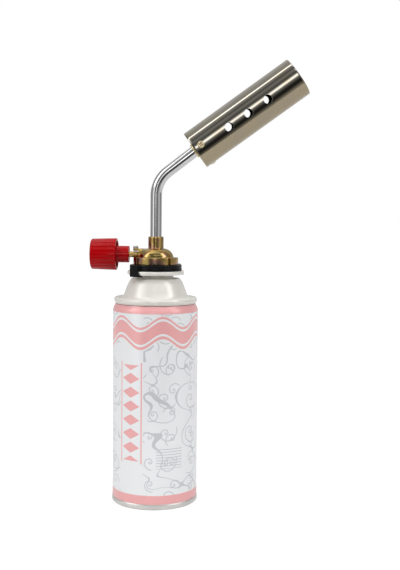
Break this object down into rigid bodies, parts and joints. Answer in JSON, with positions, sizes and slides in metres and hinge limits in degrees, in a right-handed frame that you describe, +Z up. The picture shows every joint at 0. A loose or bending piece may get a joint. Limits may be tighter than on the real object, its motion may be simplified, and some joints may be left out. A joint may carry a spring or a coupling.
{
  "type": "propane torch",
  "caption": "Gas-cartridge blowtorch: bayonet head with screw valve and fluted knob, bent gas tube and slanted burner tube with air holes, standing on its cartridge.",
  "frame": {"origin": "centre of the cartridge's base ring, on the plane it stands on", "axes": "+Z up along the cartridge, +X towards the burner, -X towards the knob"},
  "size_m": [0.1672, 0.0666, 0.3402],
  "materials": {
    "printed_tin": "pale printed tinplate with pink bands",
    "enamelled_tin": "pale satin enamel",
    "bare_tin": "plain tinplate",
    "black_rubber": "matt black nitrile rubber",
    "white_plastic": "white acetal",
    "spring_steel": "bright spring wire",
    "black_plastic": "semi-gloss moulded black plastic",
    "zinc_screw": "dull zinc-plated screw",
    "plain_brass": "turned brass",
    "brass_screw": "brassy pan-head screw",
    "sintered_bronze": "sintered bronze",
    "chromated_zinc": "die-cast zinc with iridescent yellow chromate",
    "chromed_tube": "chrome-plated steel tube",
    "polished_stainless": "polished stainless steel",
    "red_plastic": "deep red glossy moulded plastic"
  },
  "bodies": {
    "cartridge": {"cartridge_wall": "printed_tin", "cartridge_base": "bare_tin", "cartridge_shoulder": "enamelled_tin", "bayonet_collar": "enamelled_tin", "valve_cup": "bare_tin", "stem_gasket": "black_rubber", "valve_housing": "white_plastic", "stem_spring": "spring_steel", "vapour_tube": "white_plastic"},
    "valve_stem": {"valve_stem": "white_plastic"},
    "head": {"bayonet_base": "black_plastic", "base_screws": "zinc_screw", "inlet_nozzle": "plain_brass", "inlet_seal": "black_rubber", "inlet_filter": "sintered_bronze", "valve_body": "chromated_zinc", "gland_nut": "plain_brass", "stop_screw": "zinc_screw", "gas_tube": "chromed_tube", "burner_tube": "polished_stainless", "burner_holder": "plain_brass", "burner_screws": "brass_screw", "jet_holder": "plain_brass", "gas_jet": "plain_brass", "flame_retainer": "plain_brass"},
    "spindle_carriage": {"spindle_oring": "black_rubber"},
    "knob": {"knob": "red_plastic", "knob_screw": "zinc_screw", "valve_spindle": "plain_brass"}
  },
  "joints": [
    {"name": "stem_press", "type": "slide", "parent": "cartridge", "child": "valve_stem", "axis": [0, 0, 1], "range_m": [-0.0015, 0], "stiffness_N_per_m": 800, "springref_m": 0.002, "deforming": ["stem_spring"]},
    {"name": "bayonet_twist", "type": "hinge", "parent": "cartridge", "child": "head", "pos_m": [0, 0, 0.1796], "axis": [0, 0, 1], "range_deg": [-45, 0]},
    {"name": "spindle_travel", "type": "slide", "parent": "head", "child": "spindle_carriage", "axis": [-1, 0, 0], "range_m": [0, 0.00122]},
    {"name": "knob_turn", "type": "hinge", "parent": "spindle_carriage", "child": "knob", "pos_m": [-0.04, 0, 0.1918], "axis": [-1, 0, 0], "range_deg": [0, 540]}
  ],
  "couplings": [
    {"joint": "spindle_travel", "follows": "knob_turn", "m_per_rad": 0.00011937}
  ]
}
